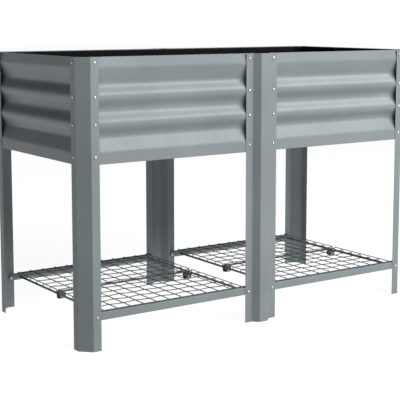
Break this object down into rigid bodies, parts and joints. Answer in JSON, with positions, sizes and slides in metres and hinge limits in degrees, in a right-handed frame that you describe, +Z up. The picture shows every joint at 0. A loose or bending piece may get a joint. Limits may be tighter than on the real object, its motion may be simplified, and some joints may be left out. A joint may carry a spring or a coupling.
{
  "type": "raised planter on legs",
  "caption": "Raised rectangular garden bed of corrugated coated sheet steel on folded legs, lined with felt, over a wire mesh storage shelf.",
  "frame": {"origin": "on the ground, under the middle of the bed", "axes": "+X along the length to the right, +Y to the rear, +Z up; -Y is the front"},
  "size_m": [1.2, 0.596, 0.8],
  "materials": {
    "post_coating": "satin grey powder coat on folded steel",
    "panel_coating": "satin grey powder coat on corrugated steel",
    "frame_coating": "satin grey powder coat on folded steel",
    "dark_wire": "dark grey powder coat on steel wire",
    "zinc_fasteners": "bright zinc plate",
    "liner_felt": "black needle-punched felt"
  },
  "bodies": {
    "root": {"clip_bolt_left_inner": "zinc_fasteners", "clip_bolt_left_outer": "zinc_fasteners", "clip_bolt_right_inner": "zinc_fasteners", "clip_bolt_right_outer": "zinc_fasteners", "clip_nut_left_inner": "zinc_fasteners", "clip_nut_left_outer": "zinc_fasteners", "clip_nut_right_inner": "zinc_fasteners", "clip_nut_right_outer": "zinc_fasteners", "corner_post_front_left": "post_coating", "corner_post_front_right": "post_coating", "corner_post_rear_left": "post_coating", "corner_post_rear_right": "post_coating", "end_panel_left": "panel_coating", "end_panel_right": "panel_coating", "fabric_liner": "liner_felt", "floor_bearer_left": "frame_coating", "floor_bearer_right": "frame_coating", "floor_tray_left": "frame_coating", "floor_tray_right": "frame_coating", "joint_clip_left_inner": "dark_wire", "joint_clip_left_outer": "dark_wire", "joint_clip_right_inner": "dark_wire", "joint_clip_right_outer": "dark_wire", "mesh_panel_front_left": "dark_wire", "mesh_panel_front_right": "dark_wire", "mesh_panel_rear_left": "dark_wire", "mesh_panel_rear_right": "dark_wire", "mid_post_front": "post_coating", "mid_post_rear": "post_coating", "shelf_bolt_front_left_inner": "zinc_fasteners", "shelf_bolt_front_left_outer": "zinc_fasteners", "shelf_bolt_front_right_inner": "zinc_fasteners", "shelf_bolt_front_right_outer": "zinc_fasteners", "shelf_bolt_rear_left_inner": "zinc_fasteners", "shelf_bolt_rear_left_outer": "zinc_fasteners", "shelf_bolt_rear_right_inner": "zinc_fasteners", "shelf_bolt_rear_right_outer": "zinc_fasteners", "shelf_crossbar_left": "frame_coating", "shelf_crossbar_right": "frame_coating", "shelf_nut_front_left_inner": "zinc_fasteners", "shelf_nut_front_left_outer": "zinc_fasteners", "shelf_nut_front_right_inner": "zinc_fasteners", "shelf_nut_front_right_outer": "zinc_fasteners", "shelf_nut_rear_left_inner": "zinc_fasteners", "shelf_nut_rear_left_outer": "zinc_fasteners", "shelf_nut_rear_right_inner": "zinc_fasteners", "shelf_nut_rear_right_outer": "zinc_fasteners", "shelf_rail_front_left": "frame_coating", "shelf_rail_front_right": "frame_coating", "shelf_rail_rear_left": "frame_coating", "shelf_rail_rear_right": "frame_coating", "wall_panel_front_left": "panel_coating", "wall_panel_front_right": "panel_coating", "wall_panel_rear_left": "panel_coating", "wall_panel_rear_right": "panel_coating"}
  },
  "joints": []
}
